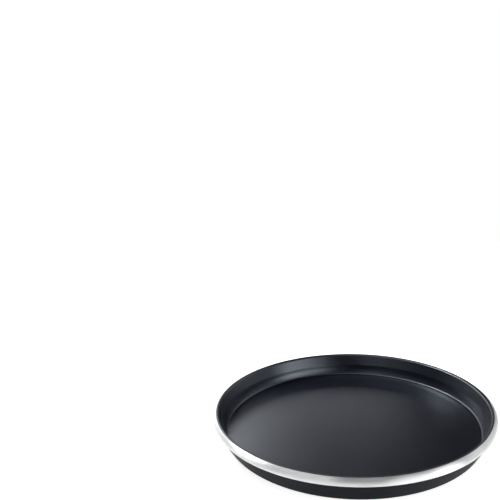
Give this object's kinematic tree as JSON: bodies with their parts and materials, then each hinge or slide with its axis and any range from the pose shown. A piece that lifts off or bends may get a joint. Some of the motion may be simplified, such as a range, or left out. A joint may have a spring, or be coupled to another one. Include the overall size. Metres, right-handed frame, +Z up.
{
  "type": "microwave crisp plate",
  "caption": "Round shallow browning plate: black-coated aluminium pan with a bare rolled rim, and a ferrite rubber layer bonded under it.",
  "frame": {"origin": "middle of the flat underside that the plate rests on", "axes": "+Z up along the plate's axis of symmetry, X and Y any two directions across it"},
  "size_m": [0.27, 0.27, 0.028],
  "materials": {
    "nonstick_coating": "satin black non-stick coating on aluminium, fine orange-peel texture",
    "bare_lip": "bare aluminium, turned to a bright finish with fine lines round the rim",
    "ferrite_rubber": "smooth moulded rubber loaded with ferrite, satin dark grey"
  },
  "bodies": {
    "root": {"pan": "nonstick_coating", "ferrite_base": "ferrite_rubber"}
  },
  "joints": []
}
